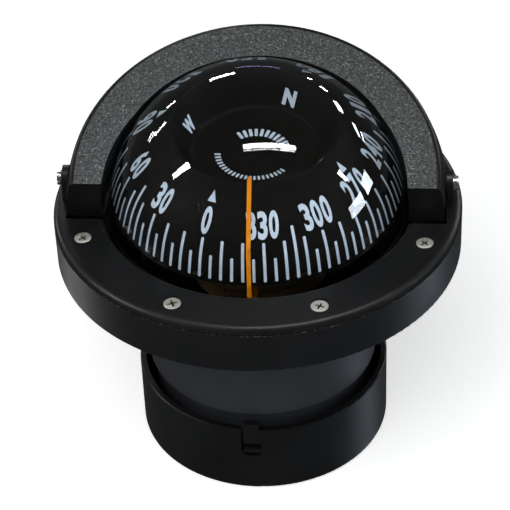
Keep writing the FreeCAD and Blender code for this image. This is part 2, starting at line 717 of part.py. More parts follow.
def make_bowl_floor():
    """Bulkhead under the liquid with its seal, diaphragm, filler plug and lamp window."""
    plate = rod("bulkhead_disc", "tube_bore", "3", z="shelf_height")
    tools = [rod("bulkhead_port", "14", "3", z="shelf_height"),
             rod("filler_hole", "2.5", "3", y="filler_place", z="shelf_height"),
             rod("lens_hole", "4", "3", y="0 - lamp_place", z="shelf_height")]
    pilot = rod("diaphragm_pilot", "0.8", "2", y="bolt_circle", z="shelf_height")
    tools.append(around("diaphragm_pilots", pilot, DIAPHRAGM_COUNT, DIAPHRAGM_START))
    keep(cut("bulkhead_cut", plate, tools), "bulkhead")
    keep(revolved("bulkhead_seal_turned", [
        ("34.6", "shelf_height + 3"),
        ("tube_bore", "shelf_height + 3"),
        ("tube_bore", "shelf_height + 4.2"),
        ("34.6", "shelf_height + 4.2"),
    ]), "bulkhead_seal")
    keep(revolved("clamp_ring_turned", [
        ("34.4", "shelf_height + 4.2"),
        ("tube_bore", "shelf_height + 4.2"),
        ("tube_bore", "post_foot"),
        ("34.4", "post_foot"),
    ]), "bulkhead_clamp_ring")
    disc = revolved("diaphragm_turned", [
        ("0", "shelf_height - 0.6"),
        ("20.4", "shelf_height - 0.6"),
        ("20.4", "shelf_height"),
        ("13.8", "shelf_height"),
        ("12.4", "shelf_height + 1.4"),
        ("11", "shelf_height"),
        ("9", "shelf_height"),
        ("7.6", "shelf_height + 1.4"),
        ("6.2", "shelf_height"),
        ("0", "shelf_height"),
    ])
    holes = rod("diaphragm_hole", "1", "2", y="bolt_circle", z="shelf_height - 1")
    holes = around("diaphragm_holes", holes, DIAPHRAGM_COUNT, DIAPHRAGM_START)
    keep(cut("diaphragm_cut", disc, [holes]), "diaphragm")
    ring = cut("diaphragm_ring_blank", rod("ring_disc", "20.4", "1.4", z="shelf_height - 2"),
               [rod("ring_hole", "15", "1.4", z="shelf_height - 2")])
    bore = rod("ring_bolt_hole", "1", "2", y="bolt_circle", z="shelf_height - 2.2")
    bores = around("ring_bolt_holes", bore, DIAPHRAGM_COUNT, DIAPHRAGM_START)
    keep(cut("diaphragm_ring_cut", ring, [bores]), "diaphragm_ring")
    stem = rod("diaphragm_stem", "0.8", "4", y="bolt_circle", z="shelf_height - 2")
    head = rod("diaphragm_head", "1.6", "1", y="bolt_circle", z="shelf_height - 3")
    screw = joined("diaphragm_screw", [stem, head])
    keep(around("diaphragm_screw_set", screw, DIAPHRAGM_COUNT, DIAPHRAGM_START), "diaphragm_screws")
    plug = joined("filler_solid", [
        rod("filler_stem", "2.5", "3", y="filler_place", z="shelf_height"),
        rod("filler_head", "4", "1.6", y="filler_place", z="shelf_height - 1.6"),
    ])
    slot = block("filler_slot", ("8", "0.9", "0.8"), "0 - 4", "filler_place - 0.45", "shelf_height - 1.6")
    keep(cut("filler_cut", plug, [slot]), "filler_plug")
    keep(rod("lens_disc", "4", "3", y="0 - lamp_place", z="shelf_height"), "lamp_lens")


def make_lamp():
    """Lamp: a bayonet bulb under the window in a socket that stands on the cover."""
    keep(joined("bulb_solid", [
        rod("bulb_base", "2.6", "4", y="0 - lamp_place", z="30"),
        rod("bulb_glass", "2.9", "4", y="0 - lamp_place", z="34"),
        lifted("bulb_tip", ball("bulb_ball", "2.9", "0"), y="0 - lamp_place", z="38"),
    ]), "lamp_bulb")
    socket = rod("socket_rod", "4.4", "25", y="0 - lamp_place", z="spigot_top")
    hole = rod("socket_hole", "2.6", "4", y="0 - lamp_place", z="30")
    keep(cut("socket_cut", socket, [hole]), "lamp_socket")


def make_compensator():
    """Compensator: a block with two drum spindles, each a slotted head flush with the tube."""
    body = block("compensator_box", ("2 * block_half", "2 * block_half", "11"),
                 "0 - block_half", "0 - block_half", "spindle_height - 6")
    tools = [
        rod("ns_drum_bore", "spindle_drum + spindle_gap", "block_half + 8", "Y",
            x="ns_offset", y="0 - 8", z="spindle_height"),
        rod("ew_drum_bore", "spindle_drum + spindle_gap", "block_half + 3", "X",
            x="0 - 3", y="ew_offset", z="spindle_height"),
    ]
    feet = []
    corners = (("0 - 14", "0 - 14"), ("10", "0 - 14"), ("0 - 14", "10"), ("10", "10"))
    for i, (x, y) in enumerate(corners):
        feet.append(block("compensator_foot_%d" % i, ("4", "4", "spindle_height - 6 - spigot_top"),
                          x, y, "spigot_top"))
    keep(cut("compensator_cut", joined("compensator_solid", [body] + feet), tools), "compensator_block")
    for name, along, side, start, reach in (
            ("ns", "Y", "ns_offset", "0 - 7.5", "tube_radius - ns_recess"),
            ("ew", "X", "ew_offset", "0 - 2.5", "tube_radius - ew_recess")):
        across = {"Y": ("x", "y"), "X": ("y", "x")}[along]
        spot = {across[0]: side, "z": "spindle_height"}

        def piece(label, radius, low, high):
            place = dict(spot)
            place[across[1]] = low
            return rod("%s_%s" % (name, label), radius, "%s - (%s)" % (high, low), along, **place)

        pieces = [piece("drum", "spindle_drum", start, "block_half - 1"),
                  piece("shaft", "spindle_shaft", start, reach),
                  piece("head", "spindle_head", reach + " - 3", reach)]
        slot_place = {"x": "ns_offset - 3.6", "y": reach + " - 1", "z": "spindle_height - 0.5"}
        slot_size = ("7.2", "2", "1")
        if along == "X":
            slot_place = {"x": reach + " - 1", "y": "ew_offset - 3.6", "z": "spindle_height - 0.5"}
            slot_size = ("2", "7.2", "1")
        magnet = {"x": "ns_offset - 1.2", "y": "2", "z": "spindle_height - 3"}
        if along == "X":
            magnet = {"x": "5", "y": "ew_offset - 1.2", "z": "spindle_height - 3"}
        hole = block(name + "_magnet_hole", ("2.4", "2.4", "6"), **magnet)
        slot = block(name + "_slot", slot_size, **slot_place)
        keep(cut(name + "_spindle_cut", joined(name + "_spindle_solid", pieces), [slot, hole]),
             name + "_spindle")
        keep(block(name + "_magnet_bar", ("2.4", "2.4", "6"), **magnet), name + "_magnet")


def make_cover():
    """Bottom cover: the foot of the compass, with its seal, three screws and cable bush."""
    plate = joined("cover_solid", [
        rod("cover_plate", "cover_radius", "cover_top"),
        rod("cover_spigot", "neck_bore - 0.1", "spigot_top - cover_top", z="cover_top"),
    ])
    sink = doc.addObject("Part::Cone", "cover_sink")
    sink.setExpression("Radius1", bound("screw_head"))
    sink.setExpression("Radius2", bound("screw_shank"))
    sink.setExpression("Height", bound("screw_head - screw_shank"))
    put(sink, y="boss_circle", z="0.4")
    tools = [
        around("cover_sinks", sink, BOSS_COUNT),
        around("cover_sink_mouths", rod("cover_mouth", "screw_head", "0.4", y="boss_circle"), BOSS_COUNT),
        around("cover_holes", rod("cover_hole", "screw_shank", "12", y="boss_circle"), BOSS_COUNT),
        rod("bush_hole", "4.2", "12", y="bush_place"),
        rod("bush_rebate", "6", "3.4", y="bush_place", z="cover_top + 2"),
    ]
    keep(cut("cover_cut", plate, tools), "bottom_cover")
    keep(revolved("cover_seal_turned", [
        ("neck_bore", "cover_top"),
        ("neck_radius", "cover_top"),
        ("neck_radius", "tube_foot"),
        ("neck_bore", "tube_foot"),
    ]), "cover_seal")
    screw = countersunk("cover_screw", "screw_shank", "screw_head", "12")
    flipped = doc.addObject("Part::Compound", "cover_screw_flipped")
    flipped.Links = [screw]
    turned(flipped, (1, 0, 0), 180)
    put(flipped, y="boss_circle", z="0.4")
    keep(around("cover_screw_set", flipped, BOSS_COUNT), "cover_screws")
    bush = joined("bush_solid", [rod("bush_neck", "4.2", "cover_top + 2 - 0.4", y="bush_place", z="0.4"),
                                 rod("bush_collar", "6", "2.4", y="bush_place", z="cover_top + 2")])
    keep(cut("bush_cut", bush, [rod("bush_way", "2", "12", y="bush_place", z="0 - 1")]), "cable_grommet")


def check_and_write():
    """Stop on any failed object or bad shape, then write one file per sub-part."""
    doc.recompute()
    for thing in doc.Objects:
        if "Invalid" in thing.State or "Error" in thing.State:
            raise RuntimeError("%s failed: %s" % (thing.Name, thing.State))
    labels = [thing.Label for thing in nodes]
    if len(set(labels)) != len(labels):
        raise RuntimeError("two sub-parts share a label")
    for thing in nodes:
        if thing.Shape.isNull() or not thing.Shape.isValid() or not thing.Shape.Solids:
            raise RuntimeError("%s has a bad shape" % thing.Label)
    os.makedirs("parts", exist_ok=True)
    for thing in nodes:
        thing.Shape.exportStep("parts/%s.step" % thing.Label)
        print("%-20s %3d solids %10.1f mm3" % (thing.Label, len(thing.Shape.Solids), thing.Shape.Volume))
    print("%d sub-parts" % len(nodes))


fill_sheet()
make_flange()
make_bezel()
make_dome()
make_hood()
make_tube()
make_sleeve()
make_gimbal()
make_cradle()
make_card()
make_bowl_floor()
make_lamp()
make_compensator()
make_cover()
check_and_write()
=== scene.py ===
"""Looks of the flush binnacle compass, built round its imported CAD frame.

Every size is in metres, in the frame of the CAD: +Z up, -Y towards the helmsman.
"""
import json
import math

import bmesh
import bpy
from mathutils import Matrix, Vector
from mathutils.bvhtree import BVHTree


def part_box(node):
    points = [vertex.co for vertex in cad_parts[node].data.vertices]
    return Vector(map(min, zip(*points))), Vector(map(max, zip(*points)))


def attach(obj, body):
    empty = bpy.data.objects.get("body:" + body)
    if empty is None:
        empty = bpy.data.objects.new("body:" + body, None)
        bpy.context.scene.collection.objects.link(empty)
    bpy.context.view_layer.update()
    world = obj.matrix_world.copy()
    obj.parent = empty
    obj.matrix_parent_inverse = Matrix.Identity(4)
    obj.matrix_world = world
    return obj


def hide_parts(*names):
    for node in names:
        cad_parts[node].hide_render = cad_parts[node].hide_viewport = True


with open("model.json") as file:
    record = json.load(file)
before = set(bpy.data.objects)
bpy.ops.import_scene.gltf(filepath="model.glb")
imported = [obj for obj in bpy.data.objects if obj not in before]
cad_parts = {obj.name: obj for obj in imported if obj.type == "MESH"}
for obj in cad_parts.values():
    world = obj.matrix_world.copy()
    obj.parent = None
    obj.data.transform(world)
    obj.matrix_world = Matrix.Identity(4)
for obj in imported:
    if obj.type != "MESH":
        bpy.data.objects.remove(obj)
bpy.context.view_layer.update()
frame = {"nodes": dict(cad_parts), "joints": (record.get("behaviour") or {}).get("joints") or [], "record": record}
nodes = frame["nodes"]
joint_at = {joint["name"]: Vector(joint.get("pos_m", (0, 0, 0))) for joint in frame["joints"]}

MM = 0.001

# camera
CAMERA_AT = Vector((0.0467, -0.5187, 0.4774))
CAMERA_AIM = Vector((0.0, 0.0, 0.0885))
CAMERA_ROLL = math.radians(-2.3)
CAMERA_LENS = 144.2
CAMERA_SHIFT = (-0.0047, -0.1143)

# dome and liquid
DOME_CENTRE = joint_at["gimbal_pitch"].z
DOME_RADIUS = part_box("dome")[1].z - DOME_CENTRE
LIQUID_IOR = 1.42

# bezel screws: the height of their heads' tops in metres, then millimetres and degrees; SCREW_RIM is
# (radius, depth) down the head, and SCREW_RECESS is (arm length, half an arm's width, depth) down the cross
SCREW_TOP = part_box("bezel_screws")[1].z
SHANK_RADIUS = 1.5
TIP_RADIUS = 1.1
TIP_LENGTH = 0.5
SCREW_RIM = [(2.45, 0.0), (2.62, 0.05), (2.74, 0.17), (2.80, 0.40), (SHANK_RADIUS, 1.75)]
SCREW_RECESS = [(1.55, 0.34, 0.0), (1.25, 0.30, 0.7), (0.60, 0.24, 1.5)]
SCREW_STEPS = 48
FIRST_CROSS_TURN = 25.0
CROSS_TURN_STEP = 67.0
SHARP_ANGLE = 28.0

# scale of the card: distances run up its flank from the lower rim, in millimetres
HEADING_AZIMUTH = -22.8
TICK_FOOT = 1.1
TICK_TOPS = {5: 8.3, 10: 12.9, 45: 16.7}
TICK_WIDTH = 0.85
NUMERAL_MIDDLE = 17.8
NUMERAL_HEIGHT = 8.0
DIGIT_WIDTH = 3.15
DIGIT_SHARE = 0.86
ONE_SHARE = 0.62
NUMERAL_BOLD = 0.035
POINTER_FOOT = 23.1
POINTER_TOP = 26.5
POINTER_WIDTH = 2.5
LETTER_RADIUS = 17.75
LETTER_HEIGHT = 4.3
LETTER_BOLD = 0.06
LETTER_WIDTHS = {"N": 3.2, "E": 2.7, "S": 2.9, "W": 4.0}
# arcs of plain dashes round the middle: (start, end azimuth, dashes, radius, dash width, dash length)
RING_ARCS = [(104.0, 212.0, 12, 7.6, 0.75, 2.3), (-88.0, 50.0, 21, 9.2, 0.55, 1.5)]
# ink: how far it stands proud of the card and goes into it, in millimetres
INK_LIFT = 0.05
INK_SINK = 0.1
# half the thickness, in metres, of the flat slab that ink is drawn as before it is laid on the card
SLAB_HALF = 1e-4
# how finely ink is cut so that it follows the card, in millimetres
TICK_PITCH = 1.2
TEXT_PITCH = 0.6
DASH_PITCH = 0.8

# light fittings that only gloss sees, placed after the highlights that the photo shows on the dome:
# the ceiling's height, and (start x, start y), (end x, end y), width, radiance
CEILING = 1.60
FITTINGS = [
    ((-0.20, -0.23), (0.82, -0.10), 0.11, 45.0),
    ((-0.20, -0.32), (0.82, -0.19), 0.03, 25.0),
    ((-2.90, -0.45), (-1.66, -0.33), 0.22, 60.0),
    ((2.80, -0.02), (4.20, 0.00), 0.20, 50.0),
    ((-1.90, 5.00), (-1.00, 4.90), 0.25, 40.0),
    ((-1.80, 4.55), (-0.95, 4.45), 0.08, 18.0),
    ((2.70, 4.70), (2.80, 3.60), 0.25, 40.0),
    ((2.40, 6.90), (2.60, 6.20), 0.25, 40.0),
    ((-5.00, 3.30), (-3.40, 2.80), 0.16, 45.0),
    ((-5.50, 6.90), (-3.90, 5.50), 0.18, 45.0),
    ((-7.30, 4.60), (-5.20, 3.90), 0.14, 35.0),
    ((-8.60, 5.80), (-6.40, 5.10), 0.14, 28.0),
    ((2.00, 8.90), (2.35, 9.10), 0.25, 35.0),
    ((4.30, 4.60), (5.20, 4.20), 0.18, 40.0),
    ((6.60, 6.40), (7.40, 6.00), 0.25, 40.0),
]


# ---------------------------------------------------------------- materials

def new_material(name):
    """A new material, its node tree and its Principled shader."""
    material = bpy.data.materials.new(name)
    material.use_nodes = True
    tree = material.node_tree
    shader = tree.nodes["Principled BSDF"]
    return material, tree, shader


def link(tree, start, end):
    """Join an output to an input."""
    tree.links.new(start, end)


def object_noise(tree, scale, detail=4.0, rough=0.6):
    """Noise fixed to the piece, in features per metre."""
    place = tree.nodes.new("ShaderNodeTexCoord")
    noise = tree.nodes.new("ShaderNodeTexNoise")
    noise.inputs["Scale"].default_value = scale
    noise.inputs["Detail"].default_value = detail
    noise.inputs["Roughness"].default_value = rough
    link(tree, place.outputs["Object"], noise.inputs["Vector"])
    return noise.outputs["Fac"]


def spread(tree, value, low, high, start=0.3, end=0.7):
    """A value that runs from low to high as the input runs from start to end."""
    step = tree.nodes.new("ShaderNodeMapRange")
    step.inputs["From Min"].default_value = start
    step.inputs["From Max"].default_value = end
    step.inputs["To Min"].default_value = low
    step.inputs["To Max"].default_value = high
    link(tree, value, step.inputs["Value"])
    return step.outputs["Result"]


def bumped(tree, shader, height, distance, strength=1.0):
    """Give a shader relief from a height."""
    bump = tree.nodes.new("ShaderNodeBump")
    bump.inputs["Distance"].default_value = distance
    bump.inputs["Strength"].default_value = strength
    link(tree, height, bump.inputs["Height"])
    link(tree, bump.outputs["Normal"], shader.inputs["Normal"])


def object_height(tree):
    """The height of a point of the piece, in metres."""
    place = tree.nodes.new("ShaderNodeTexCoord")
    parts = tree.nodes.new("ShaderNodeSeparateXYZ")
    link(tree, place.outputs["Object"], parts.inputs["Vector"])
    return parts.outputs["Z"]


def arithmetic(tree, operation, *values):
    """The result of a sum on sockets and plain numbers."""
    step = tree.nodes.new("ShaderNodeMath")
    step.operation = operation
    for slot, value in zip(step.inputs, values):
        if isinstance(value, float):
            slot.default_value = value
        else:
            link(tree, value, slot)
    return step.outputs["Value"]


def colour_mix(tree, factor, first, second):
    """The first colour where the factor is 0, the second where it is 1; each is a socket or plain."""
    mix = tree.nodes.new("ShaderNodeMix")
    mix.data_type = "RGBA"
    link(tree, factor, mix.inputs["Factor"])
    for name, value in (("A", first), ("B", second)):
        if isinstance(value, tuple):
            mix.inputs[name].default_value = (*value, 1.0)
        else:
            link(tree, value, mix.inputs[name])
    return mix.outputs["Result"]


def moulded_plastic(name, dark, light, rough_low, rough_high, shine=0.26, dust_at=None):
    """Black moulded plastic: a fine skin and slow changes of gloss, with pale dust at dust_at if given."""
    material, tree, shader = new_material(name)
    slow = object_noise(tree, 45.0, 3.0)
    fine = object_noise(tree, 2600.0, 2.0)
    colour = colour_mix(tree, spread(tree, slow, 0.0, 1.0), dark, light)
    if dust_at is not None:
        gap = arithmetic(tree, "ABSOLUTE", arithmetic(tree, "SUBTRACT", object_height(tree), dust_at))
        near = spread(tree, gap, 1.0, 0.0, 0.05 * MM, 0.4 * MM)
        flakes = spread(tree, object_noise(tree, 700.0, 6.0, 0.8), 0.0, 1.0, 0.53, 0.60)
        colour = colour_mix(tree, arithmetic(tree, "MULTIPLY", near, flakes), colour, (0.16, 0.16, 0.155))
    link(tree, colour, shader.inputs["Base Color"])
    link(tree, spread(tree, slow, rough_low, rough_high), shader.inputs["Roughness"])
    bumped(tree, shader, fine, 0.00002, 0.6)
    shader.inputs["Specular IOR Level"].default_value = shine
    return material


def flat_normal(node):
    """The direction that most of a node's flat area faces."""
    areas = {}
    for face in nodes[node].data.polygons:
        key = tuple(round(part, 3) for part in face.normal)
        areas[key] = areas.get(key, 0.0) + face.area
    return Vector(max(areas, key=areas.get)).normalized()


def hood_plastic():
    """Hood: a coarse sparkling texture on the flat face, smoother black round it."""
    material, tree, shader = new_material("hood_textured")
    place = tree.nodes.new("ShaderNodeTexCoord")
    facing = tree.nodes.new("ShaderNodeVectorMath")
    facing.operation = "DOT_PRODUCT"
    facing.inputs[1].default_value = flat_normal("visor_hood")
    link(tree, place.outputs["Normal"], facing.inputs[0])
    face = spread(tree, facing.outputs["Value"], 0.0, 1.0, 0.985, 0.998)

    grain = object_noise(tree, 1500.0, 3.0, 0.8)
    fleck = tree.nodes.new("ShaderNodeTexVoronoi")
    fleck.inputs["Scale"].default_value = 2300.0
    link(tree, place.outputs["Object"], fleck.inputs["Vector"])
    seed = tree.nodes.new("ShaderNodeSeparateColor")
    link(tree, fleck.outputs["Color"], seed.inputs["Color"])
    spark = spread(tree, seed.outputs["Red"], 0.0, 1.0, 0.90, 0.97)
    grey = colour_mix(tree, spread(tree, grain, 0.0, 1.0, 0.38, 0.62), (0.020, 0.022, 0.022),
                      (0.142, 0.152, 0.153))
    sparkling = colour_mix(tree, spark, grey, (0.27, 0.285, 0.28))
    whole = colour_mix(tree, face, (0.0040, 0.0043, 0.0045), sparkling)
    link(tree, whole, shader.inputs["Base Color"])
    link(tree, spread(tree, face, 0.36, 0.62, 0.0, 1.0), shader.inputs["Roughness"])
    height = arithmetic(tree, "MULTIPLY", grain, spread(tree, face, 0.05, 1.0, 0.0, 1.0))
    bumped(tree, shader, height, 0.0005, 0.8)
    shader.inputs["Specular IOR Level"].default_value = 0.25
    return material


def metal(name, colour, rough, streak=900.0, relief=0.00001, painted_shade_at=None):
    """Bare metal with fine machining marks, and painted shade below a given height if one is given."""
    material, tree, shader = new_material(name)
    marks = object_noise(tree, streak, 4.0, 0.7)
    shader.inputs["Base Color"].default_value = (*colour, 1.0)
    if painted_shade_at is not None:
        # painted shade: the colour goes dark below the given height
        unshaded = spread(tree, object_height(tree), 0.0, 1.0, painted_shade_at - 0.35 * MM, painted_shade_at)
        link(tree, colour_mix(tree, unshaded, (0.012, 0.012, 0.012), colour), shader.inputs["Base Color"])
    shader.inputs["Metallic"].default_value = 1.0
    link(tree, spread(tree, marks, rough * 0.75, rough * 1.35), shader.inputs["Roughness"])
    bumped(tree, shader, marks, relief, 0.5)
    return material


def plain_finish(name, colour, rough, shine=0.5, grain_scale=1800.0, grain=0.00002):
    """Paint, rubber or moulding of one colour; shine is low for what lies in the liquid."""
    material, tree, shader = new_material(name)
    shader.inputs["Specular IOR Level"].default_value = shine
    skin = object_noise(tree, grain_scale, 3.0)
    darker = tuple(0.82 * part for part in colour)
    shade = colour_mix(tree, spread(tree, skin, 0.0, 1.0), darker, colour)
    link(tree, shade, shader.inputs["Base Color"])
    link(tree, spread(tree, skin, rough * 0.9, min(1.0, rough * 1.15)), shader.inputs["Roughness"])
    bumped(tree, shader, skin, grain, 0.5)
    return material


def clear_liquid():
    """Dome and damping liquid as one clear body that lets light in to the card."""
    material, tree, shader = new_material("clear_dome")
    shader.inputs["Base Color"].default_value = (0.97, 0.985, 1.0, 1.0)
    shader.inputs["Roughness"].default_value = 0.0
    shader.inputs["IOR"].default_value = LIQUID_IOR
    shader.inputs["Transmission Weight"].default_value = 1.0
    path = tree.nodes.new("ShaderNodeLightPath")
    through = tree.nodes.new("ShaderNodeBsdfTransparent")
    mix = tree.nodes.new("ShaderNodeMixShader")
    link(tree, path.outputs["Is Shadow Ray"], mix.inputs["Fac"])
    link(tree, shader.outputs["BSDF"], mix.inputs[1])
    link(tree, through.outputs["BSDF"], mix.inputs[2])
    link(tree, mix.outputs["Shader"], tree.nodes["Material Output"].inputs["Surface"])
    return material


def lamp_glass(name, colour):
    """Clear or coloured glass of the lamp."""
    material, _, shader = new_material(name)
    shader.inputs["Base Color"].default_value = (*colour, 1.0)
    shader.inputs["Roughness"].default_value = 0.08
    shader.inputs["Transmission Weight"].default_value = 0.8
    return material


SUNK_SHINE = 0.03
FINISHES = {
    "black_plastic": moulded_plastic("satin_black", (0.0058, 0.0063, 0.0068), (0.0085, 0.0090, 0.0098),
                                     0.34, 0.46, dust_at=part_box("flange_ring")[1].z),
    "hood_texture": hood_plastic(),
    "clear_dome": clear_liquid(),
    "card_black": plain_finish("card_black", (0.0020, 0.0020, 0.0014), 0.5, SUNK_SHINE),
    "lubber_orange": plain_finish("lubber_orange", (0.56, 0.19, 0.005), 0.4, SUNK_SHINE),
    "stainless": metal("stainless", (0.78, 0.77, 0.73), 0.24),
    "brass": metal("brass", (0.72, 0.50, 0.22), 0.35),
    "rubber": plain_finish("rubber", (0.008, 0.008, 0.008), 0.75, 0.3),
    "foam_white": plain_finish("foam_white", (0.75, 0.75, 0.70), 0.85, SUNK_SHINE, 900.0, 0.0001),
    "magnet_steel": metal("magnet_steel", (0.20, 0.20, 0.21), 0.5),
    "lamp_red": lamp_glass("lamp_red", (0.7, 0.03, 0.02)),
    "clear_lens": lamp_glass("clear_lens", (0.9, 0.9, 0.9)),
    "sapphire": plain_finish("sapphire", (0.35, 0.06, 0.14), 0.15),
}
# screw steel with painted shade just below the heads' tops, dark in the cross recesses and down the rims
SCREW_FINISH = metal("screw_steel", (0.96, 0.95, 0.86), 0.42, 1500.0, 0.000001, SCREW_TOP - 0.15 * MM)
INK = plain_finish("card_ink", (0.45, 0.53, 0.62), 0.55, SUNK_SHINE)
BODY_FINISH = moulded_plastic("body_black", (0.0250, 0.0265, 0.0315), (0.0320, 0.0340, 0.0400), 0.42, 0.55)
SLEEVE_FINISH = moulded_plastic("sleeve_black", (0.0045, 0.0048, 0.0052), (0.0075, 0.0080, 0.0088),
                                0.33, 0.45)
# plain black of painted shade, for parts inside the bowl and the band in the dome's foot
BOWL_SHADE_FINISH = plain_finish("bowl_black_painted_shade", (0.0035, 0.0035, 0.0035), 0.6, SUNK_SHINE)


def finish_nodes():
    """Every CAD node takes the finish of its record slot, or its own where it has one."""
    own = {"body_tube": BODY_FINISH, "clamp_sleeve": SLEEVE_FINISH}
    # painted shade: these parts inside the bowl are turned plain black in place of their record's finish
    own.update(dict.fromkeys(("gimbal_support", "bulkhead", "cradle_frame", "gimbal_ring"), BOWL_SHADE_FINISH))
    for part in frame["record"]["subparts"]:
        node = nodes[part["node"]]
        finish = own.get(part["node"], FINISHES[part["material_slot"]])
        for place in node.material_slots:
            place.link = "OBJECT"
            place.material = finish


# ---------------------------------------------------------------- pieces

def piece_from(name, mesh, finish, body, smooth=True):
    """A finished piece: its mesh, material and the body it rides on."""
    piece = bpy.data.objects.new(name, mesh)
    bpy.context.scene.collection.objects.link(piece)
    mesh.materials.clear()
    mesh.materials.append(finish)
    for face in mesh.polygons:
        face.use_smooth = smooth
    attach(piece, body)
    return piece


def circle_of(bm, radius, height, steps):
    """Evenly spaced vertices on a level circle about Z."""
    verts = []
    for i in range(steps):
        angle = 2.0 * math.pi * i / steps
        verts.append(bm.verts.new((radius * math.cos(angle), radius * math.sin(angle), height)))
    return verts


def join_loops(bm, first, second):
    """Quads between two loops with as many vertices."""
    for i in range(len(first)):
        j = (i + 1) % len(first)
        bm.faces.new((first[i], first[j], second[j], second[i]))


def mesh_from(name, bm):
    """A mesh from a closed bmesh, with its faces turned outward."""
    bmesh.ops.recalc_face_normals(bm, faces=bm.faces)
    mesh = bpy.data.meshes.new(name)
    bm.to_mesh(mesh)
    bm.free()
    return mesh


def turned_mesh(name, outline, steps):
    """A closed mesh turned about Z from (radius, height) points that start and end on the axis."""
    bm = bmesh.new()
    top = bm.verts.new((0.0, 0.0, outline[0][1]))
    rings = [circle_of(bm, radius, height, steps) for radius, height in outline[1:-1]]
    foot = bm.verts.new((0.0, 0.0, outline[-1][1]))
    for i in range(steps):
        bm.faces.new((top, rings[0][(i + 1) % steps], rings[0][i]))
    for first, second in zip(rings, rings[1:]):
        join_loops(bm, first, second)
    for i in range(steps):
        bm.faces.new((rings[-1][i], rings[-1][(i + 1) % steps], foot))
    return mesh_from(name, bm)


def ring_mesh(name, outline, steps):
    """A closed ring turned about Z from a closed outline of (radius, height) points."""
    bm = bmesh.new()
    rings = [circle_of(bm, radius, height, steps) for radius, height in outline]
    for first, second in zip(rings, rings[1:] + rings[:1]):
        join_loops(bm, first, second)
    return mesh_from(name, bm)


def make_dome():
    """Dome and liquid: a ball on a neck, a clamped foot, and a well that ends inside the bowl's walls."""
    flange_low, flange_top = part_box("dome")[0].z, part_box("dome_gasket")[0].z
    flange_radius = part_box("dome")[1].x
    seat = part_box("dome_seal")[0].z - 0.2 * MM
    well_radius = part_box("bulkhead")[1].x + 0.7 * MM
    well_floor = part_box("bulkhead")[1].z - 1.5 * MM
    outline = [(0.0, DOME_CENTRE + DOME_RADIUS)]
    ball_steps = 72
    for i in range(1, ball_steps + 1):
        angle = 0.5 * math.pi * i / ball_steps
        outline.append((DOME_RADIUS * math.sin(angle), DOME_CENTRE + DOME_RADIUS * math.cos(angle)))
    outline += [
        (DOME_RADIUS, flange_top + 0.4 * MM),
        (DOME_RADIUS + 0.4 * MM, flange_top),
        (flange_radius, flange_top),
        (flange_radius, flange_low),
        (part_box("dome_seal")[1].x - 1.0 * MM, flange_low),
        (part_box("dome_seal")[1].x - 1.0 * MM, seat),
        (well_radius, seat),
        (well_radius, well_floor),
        (0.0, well_floor),
    ]
    dome = piece_from("liquid_dome", turned_mesh("liquid_dome", outline, 256), FINISHES["clear_dome"],
                      "housing")
    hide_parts("dome")
    return dome


def make_liner():
    """Black band inside the dome's foot, a dark sheet of painted shade, which hides the clamped flange from
    inside.
    """
    low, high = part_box("dome")[0].z, DOME_CENTRE + 0.5 * MM
    outer, inner = DOME_RADIUS - 0.05 * MM, DOME_RADIUS - 0.4 * MM
    mesh = ring_mesh("dome_foot_shade_band", [(outer, low), (outer, high), (inner, high), (inner, low)], 192)
    piece_from("dome_foot_shade_band", mesh, BOWL_SHADE_FINISH, "housing")


def island_centres(node):
    """The middle of each loose solid in a CAD node."""
    bm = bmesh.new()
    bm.from_mesh(nodes[node].data)
    bmesh.ops.remove_doubles(bm, verts=bm.verts, dist=0.002 * MM)
    left = set(bm.verts)
    middles = []
    while left:
        group = []
        queue = [left.pop()]
        while queue:
            vert = queue.pop()
            group.append(vert.co.copy())
            for edge in vert.link_edges:
                other = edge.other_vert(vert)
                if other in left:
                    left.remove(other)
                    queue.append(other)
        low = [min(co[k] for co in group) for k in range(3)]
        high = [max(co[k] for co in group) for k in range(3)]
        middles.append((Vector(low) + Vector(high)) / 2)
    bm.free()
    return middles


def cross_outline(turn, reach, half):
    """The twelve corners of a cross, turned by an angle: arm length and half an arm's width."""
    points = []
    for k in range(4):
        angle = turn + math.radians(90.0 * k)
        along = Vector((math.cos(angle), math.sin(angle)))
        aside = Vector((-along.y, along.x))
        points += [along * reach - aside * half, along * reach + aside * half, along * half + aside * half]
    return points


def screw_part(middle, turn, length):
    """A countersunk screw: a flat head with a tapered cross recess, a rounded rim, a cone and a shank."""
    bm = bmesh.new()

    def cross(reach, half, depth):
        """The recess's corners at one depth."""
        return [bm.verts.new((*point, -depth)) for point in cross_outline(turn, reach, half)]

    shank = [(SHANK_RADIUS, length - TIP_LENGTH), (TIP_RADIUS, length)]
    rings = [circle_of(bm, radius, -depth, SCREW_STEPS) for radius, depth in SCREW_RIM + shank]
    recess = [cross(*spot) for spot in SCREW_RECESS]
    edges = []
    for loop in (rings[0], recess[0]):
        edges += [bm.edges.new((loop[i], loop[(i + 1) % len(loop)])) for i in range(len(loop))]
    bmesh.ops.triangle_fill(bm, edges=edges, use_beauty=True)
    for loops in (rings, recess):
        for first, second in zip(loops, loops[1:]):
            join_loops(bm, first, second)
        bm.faces.new(loops[-1])
    bmesh.ops.scale(bm, vec=(MM, MM, MM), verts=bm.verts)
    bmesh.ops.translate(bm, verts=bm.verts, vec=(middle.x, middle.y, SCREW_TOP))
    return bm


def make_bezel_screws():
    """Countersunk screws with cross recesses, in place of the plain CAD ones."""
    low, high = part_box("bezel_screws")
    parts = []
    for index, middle in enumerate(island_centres("bezel_screws")):
        turn = math.radians(FIRST_CROSS_TURN + CROSS_TURN_STEP * index)
        parts.append(screw_part(middle, turn, (high.z - low.z) / MM))
    screws = piece_from("bezel_screw_set", gather("bezel_screw_set", parts), SCREW_FINISH,
                        "housing")
    screws.data.set_sharp_from_angle(angle=math.radians(SHARP_ANGLE))
    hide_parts("bezel_screws")


